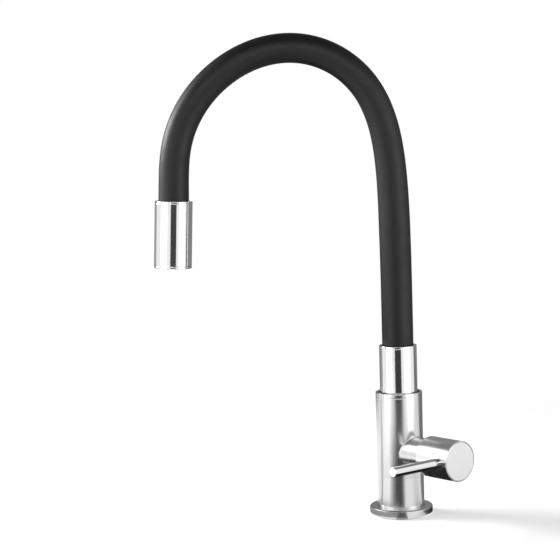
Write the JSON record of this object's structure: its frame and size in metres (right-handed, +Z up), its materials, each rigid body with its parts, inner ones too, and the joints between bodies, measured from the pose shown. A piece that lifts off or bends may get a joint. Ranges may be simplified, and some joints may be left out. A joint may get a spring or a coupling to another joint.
{
  "type": "flexible kitchen faucet",
  "caption": "Cold-water kitchen faucet: steel column with a side lever, and a black gooseneck hose spout that swivels, bends and stays put, with a polished outlet.",
  "frame": {"origin": "on the column's axis, in the plane of the deck that the base gasket rests on", "axes": "+Z up along the column; the hose arches over towards -X, in the plane Y = 0; the valve's handle points to +X and -Y, 50 degrees round from +X"},
  "size_m": [0.2323, 0.1066, 0.3624],
  "materials": {
    "brushed_steel": "fine circular and lengthwise brushing, satin",
    "satin_steel": "fine turned satin",
    "polished_steel": "mirror polished",
    "spring_steel": "plain drawn steel",
    "black_silicone": "smooth satin silicone",
    "black_rubber": "matte moulded rubber",
    "brass": "as turned",
    "white_ceramic": "lapped ceramic",
    "white_plastic": "plain moulded plastic",
    "grey_plastic": "dark moulded plastic"
  },
  "bodies": {
    "column": {"column_body": "brushed_steel", "base_flange": "brushed_steel", "base_gasket": "black_rubber", "inlet_waterway": "brass", "waterway_o_ring": "black_rubber", "headwork_body": "brass", "stub_gasket": "black_rubber", "seat_washer": "black_rubber", "fixed_ceramic_disc": "white_ceramic", "swivel_bush": "brass", "thrust_washer": "white_plastic", "guide_ring": "grey_plastic"},
    "handle": {"turning_ceramic_disc": "white_ceramic", "valve_spindle": "brass", "spindle_o_ring": "black_rubber", "spindle_circlip": "spring_steel", "handle_hub": "satin_steel", "handle_cap": "satin_steel", "handle_screw": "spring_steel", "lever_rod": "polished_steel"},
    "spout_base": {"swivel_spigot": "brass", "swivel_o_ring_upper": "black_rubber", "swivel_o_ring_lower": "black_rubber", "swivel_snap_ring": "spring_steel", "lower_ferrule": "polished_steel", "hose_skin_1": "black_silicone", "hose_core_1": "spring_steel", "hose_liner_1": "white_plastic"},
    "hose_2": {"hose_skin_2": "black_silicone", "hose_core_2": "spring_steel", "hose_liner_2": "white_plastic"},
    "hose_3": {"hose_skin_3": "black_silicone", "hose_core_3": "spring_steel", "hose_liner_3": "white_plastic"},
    "hose_4": {"hose_skin_4": "black_silicone", "hose_core_4": "spring_steel", "hose_liner_4": "white_plastic"},
    "hose_5": {"hose_skin_5": "black_silicone", "hose_core_5": "spring_steel", "hose_liner_5": "white_plastic"},
    "hose_6": {"hose_skin_6": "black_silicone", "hose_core_6": "spring_steel", "hose_liner_6": "white_plastic"},
    "hose_7": {"hose_skin_7": "black_silicone", "hose_core_7": "spring_steel", "hose_liner_7": "white_plastic"},
    "outlet": {"hose_skin_8": "black_silicone", "hose_core_8": "spring_steel", "hose_liner_8": "white_plastic", "outlet_sleeve": "polished_steel", "outlet_tail": "brass", "aerator_seal": "black_rubber", "aerator_housing": "polished_steel", "aerator_screen": "spring_steel", "aerator_insert": "grey_plastic"}
  },
  "joints": [
    {"name": "handle_turn", "type": "hinge", "parent": "column", "child": "handle", "pos_m": [0, 0, 0.048], "axis": [-0.6428, 0.766, 0], "range_deg": [0, 90]},
    {"name": "spout_swivel", "type": "hinge", "parent": "column", "child": "spout_base", "pos_m": [0, 0, 0.08], "axis": [0, 0, 1], "continuous": true},
    {"name": "hose_bend_1", "type": "hinge", "parent": "spout_base", "child": "hose_2", "pos_m": [-0.00002, 0, 0.15864], "axis": [0, 1, 0], "range_deg": [-20, 20], "deforming": ["hose_skin_1", "hose_core_1", "hose_liner_1"]},
    {"name": "hose_sway_2", "type": "hinge", "parent": "hose_2", "child": "hose_3", "pos_m": [-0.00055, 0, 0.21893], "axis": [1, 0, 0], "range_deg": [-40, 40], "deforming": ["hose_skin_2", "hose_core_2", "hose_liner_2"]},
    {"name": "hose_bend_3", "type": "hinge", "parent": "hose_3", "child": "hose_4", "pos_m": [-0.00442, 0, 0.27904], "axis": [0, 1, 0], "range_deg": [-10, 25], "deforming": ["hose_skin_3", "hose_core_3", "hose_liner_3"]},
    {"name": "hose_bend_4", "type": "hinge", "parent": "hose_4", "child": "hose_5", "pos_m": [-0.02937, 0, 0.33268], "axis": [0, 1, 0], "range_deg": [-6, 35], "deforming": ["hose_skin_4", "hose_core_4", "hose_liner_4"]},
    {"name": "hose_bend_5", "type": "hinge", "parent": "hose_5", "child": "hose_6", "pos_m": [-0.08473, 0, 0.35129], "axis": [0, 1, 0], "range_deg": [-6, 35], "deforming": ["hose_skin_5", "hose_core_5", "hose_liner_5"]},
    {"name": "hose_bend_6", "type": "hinge", "parent": "hose_6", "child": "hose_7", "pos_m": [-0.1375, 0, 0.32464], "axis": [0, 1, 0], "range_deg": [-8, 30], "deforming": ["hose_skin_6", "hose_core_6", "hose_liner_6"]},
    {"name": "hose_bend_7", "type": "hinge", "parent": "hose_7", "child": "outlet", "pos_m": [-0.16279, 0, 0.27117], "axis": [0, 1, 0], "range_deg": [-10, 25], "deforming": ["hose_skin_7", "hose_core_7", "hose_liner_7", "hose_skin_8", "hose_core_8", "hose_liner_8"]}
  ]
}
